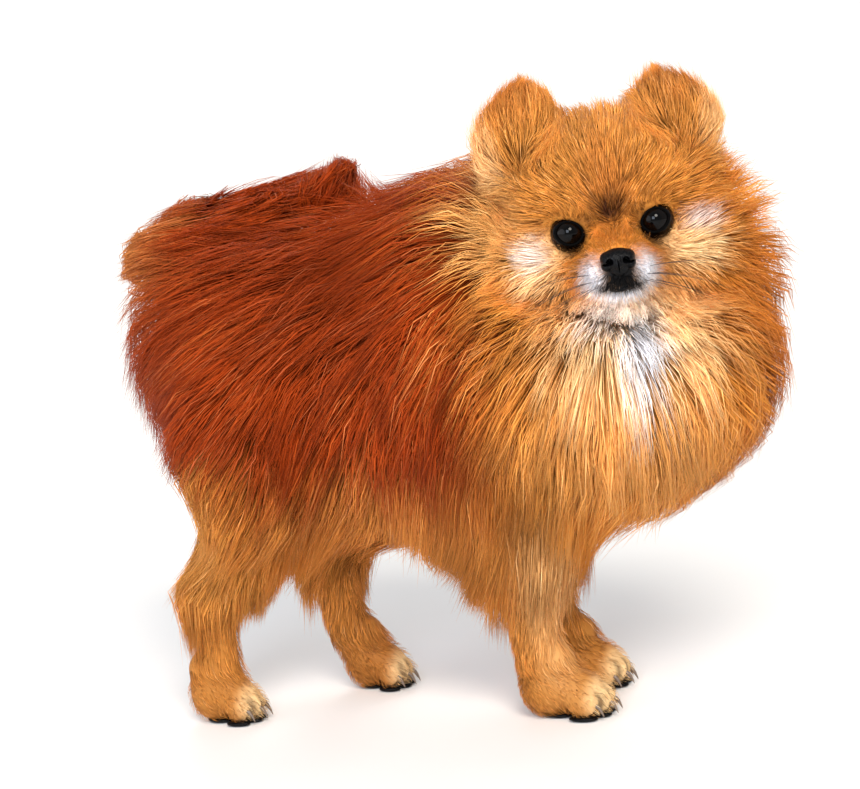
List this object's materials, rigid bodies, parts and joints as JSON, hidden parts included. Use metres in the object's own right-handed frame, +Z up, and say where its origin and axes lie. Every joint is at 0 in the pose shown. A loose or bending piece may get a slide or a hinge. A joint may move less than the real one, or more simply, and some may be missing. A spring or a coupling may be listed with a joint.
{
  "type": "pomeranian dog model",
  "caption": "Life-size still model of a standing pomeranian with a full red sable coat, a deep ruff, a plumed tail over its back and its head turned to the side.",
  "frame": {"origin": "on the floor, under the middle of the whole animal's box", "axes": "+X the way the body faces, +Y the animal's left, +Z up"},
  "size_m": [0.3234, 0.1758, 0.3081],
  "materials": {
    "body_coat": "long straight guard hair, deep red to orange, soft sheen",
    "ruff_coat": "long straight hair, golden orange to cream, soft sheen",
    "face_coat": "short soft hair, orange with white at the muzzle",
    "leg_coat": "short dense hair, golden, paler at the toes",
    "nose_leather": "fine pebbled moist black leather",
    "eye": "wet glossy dark brown",
    "claw": "dark horn, satin"
  },
  "bodies": {
    "root": {"head": "face_coat", "eye_right": "eye", "eye_left": "eye", "ear_right": "face_coat", "ear_left": "face_coat", "nose": "nose_leather", "neck": "ruff_coat", "torso": "body_coat", "tail": "body_coat", "thigh_right": "body_coat", "thigh_left": "body_coat", "leg_front_right": "leg_coat", "leg_front_left": "leg_coat", "leg_hind_right": "leg_coat", "leg_hind_left": "leg_coat", "paw_front_right": "leg_coat", "paw_front_left": "leg_coat", "paw_hind_right": "leg_coat", "paw_hind_left": "leg_coat"}
  },
  "joints": []
}
